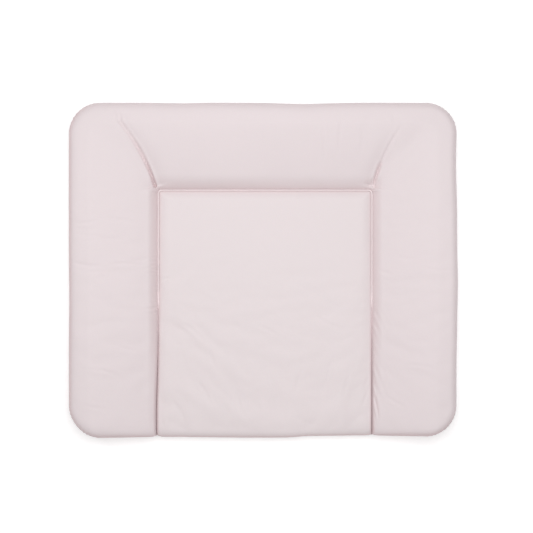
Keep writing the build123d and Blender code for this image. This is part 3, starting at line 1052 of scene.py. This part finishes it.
PINK = (0.759, 0.671, 0.685)
PALER_PINK = (0.768, 0.686, 0.696)
# both cover fabrics take their painted shade from the mesh's colour attribute
COATED = {"rough": 0.55, "cell": 0.0008, "bump": 0.25, "mottle": 0.012, "sheen": 0.08, "painted_shade_colour": True}
BOLSTER = fabric("coated_cotton_bolsters", PINK, **COATED)
LYING = fabric("coated_cotton_lying_surface", PALER_PINK, **COATED)
BACKING = fabric("coated_knit_back", (0.80, 0.78, 0.76), 0.65, 0.0012, 0.4, mottle=0.02)
# paler than the cover: partly the piping's own colour, partly a painted highlight for the light caught on the
# welt's ridge
PIPING = fabric("piping_cloth", (0.90, 0.80, 0.81), 0.5, 0.0006, 0.3, mottle=0.01)
THREAD = fabric("sewing_thread", (0.62, 0.50, 0.52), 0.6, 0.0003, 0.5, mottle=0.02)
FOAM = porous("polyurethane_foam", (0.86, 0.80, 0.62), 0.9, 0.0012, 0.5)
FLEECE = porous("polyester_fleece", (0.86, 0.86, 0.84), 0.95, 0.003, 0.35)


def finished(piece, mat, slot, *nodes):
    """Gives a piece its material and makes it stand for CAD nodes."""
    piece.data.materials.append(mat)
    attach(piece, "root")
    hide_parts(*nodes)


finished(bolster, BOLSTER, "cover", "bolster_cover")
finished(centre, LYING, "cover", "centre_cover")
finished(back, BACKING, "backing", "back_sheet")
finished(welt, PIPING, "piping", "seam_piping")
finished(rim_stitches, THREAD, "thread", "perimeter_seam_thread")
finished(seam_stitches, THREAD, "thread", "inner_seam_thread")
finished(left_dart, THREAD, "thread", "left_dart_thread")
finished(right_dart, THREAD, "thread", "right_dart_thread")
finished(base, FOAM, "foam", "base_foam")
finished(centre_fleece, FLEECE, "fleece", "centre_fleece")
for place, (foam, fleece) in bolster_fillings.items():
    finished(foam, FOAM, "foam", f"{place}_bolster_foam")
    finished(fleece, FLEECE, "fleece", f"{place}_bolster_fleece")


# ---------------------------------------------------------------- floor, light and camera

bpy.ops.mesh.primitive_plane_add(size=6, location=(0, 0, -0.0005))
floor = bpy.context.object
floor.name = "floor"
floor_mat = material("floor_white", (0.9, 0.9, 0.9), 0.9)
floor_shader = floor_mat.node_tree.nodes["Principled BSDF"]
floor_shader.inputs["Emission Color"].default_value = (1, 1, 1, 1)
floor_shader.inputs["Emission Strength"].default_value = 0.29
floor.data.materials.append(floor_mat)

world = bpy.data.worlds.new("studio")
bpy.context.scene.world = world
world.use_nodes = True
world.node_tree.nodes["Background"].inputs["Color"].default_value = (1, 1, 1, 1)
world.node_tree.nodes["Background"].inputs["Strength"].default_value = 0.38


def area_light(name, location, size, power):
    """A round lamp that shines at the middle of the mat."""
    data = bpy.data.lights.new(name, "AREA")
    data.shape = "DISK"
    data.size = size
    data.energy = power
    lamp = bpy.data.objects.new(name, data)
    bpy.context.collection.objects.link(lamp)
    lamp.location = location
    lamp.rotation_euler = (-Vector(location)).to_track_quat("-Z", "Y").to_euler()


area_light("key", (0.10, 0.26, 2.2), 1.7, 33.4)
area_light("side", (-1.5, 0.7, 1.5), 0.4, 4.3)

camera_data = bpy.data.cameras.new("camera")
camera = bpy.data.objects.new("camera", camera_data)
bpy.context.collection.objects.link(camera)
bpy.context.scene.camera = camera
CAMERA_HEIGHT = 3.2
VIEW_WIDTH = 1.1743  # what the picture's width covers at the height of the mat's widest line
camera.location = (0.0075, 0.0085, CAMERA_HEIGHT)
SENSOR_MM = 36
camera_data.sensor_width = SENSOR_MM
camera_data.lens = SENSOR_MM * (CAMERA_HEIGHT - WIDEST_Z * MM) / VIEW_WIDTH
camera_data.clip_end = 50
bpy.context.scene.view_settings.view_transform = "Standard"
bpy.context.scene.view_settings.look = "None"
